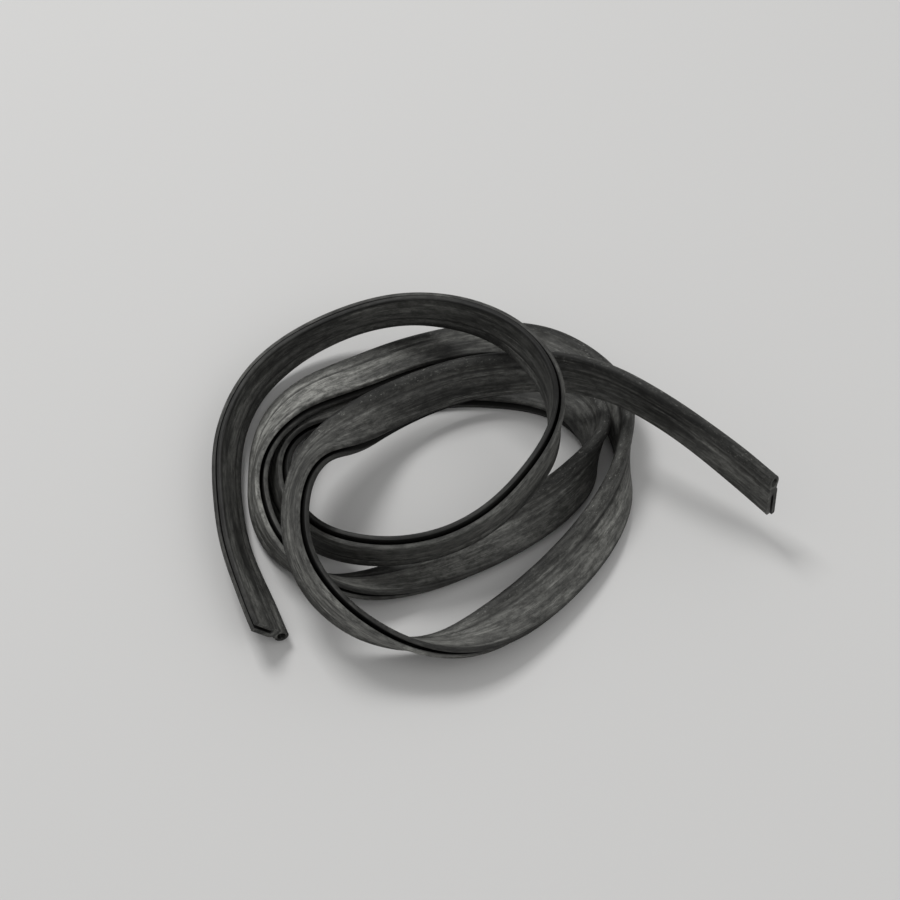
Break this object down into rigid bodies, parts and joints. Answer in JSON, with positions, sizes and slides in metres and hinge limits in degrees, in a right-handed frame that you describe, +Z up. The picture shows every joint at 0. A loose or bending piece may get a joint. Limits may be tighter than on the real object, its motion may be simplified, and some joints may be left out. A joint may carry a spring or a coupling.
{
  "type": "rubber door seal strip",
  "caption": "Black rubber seal strip for an appliance door, with a hollow bulb edge and a slotted edge, lying in loose twisted loops with both ends cut.",
  "frame": {"origin": "on the floor under the middle of the coil's footprint", "axes": "+Z up, the coil lies flat on the floor, and the picture's camera looks along +Y and down"},
  "size_m": [0.2162, 0.1704, 0.0532],
  "materials": {
    "rubber": "matte black extruded rubber with pale talc streaks and scuffs"
  },
  "bodies": {
    "root": {"seal_strip": "rubber"}
  },
  "joints": []
}
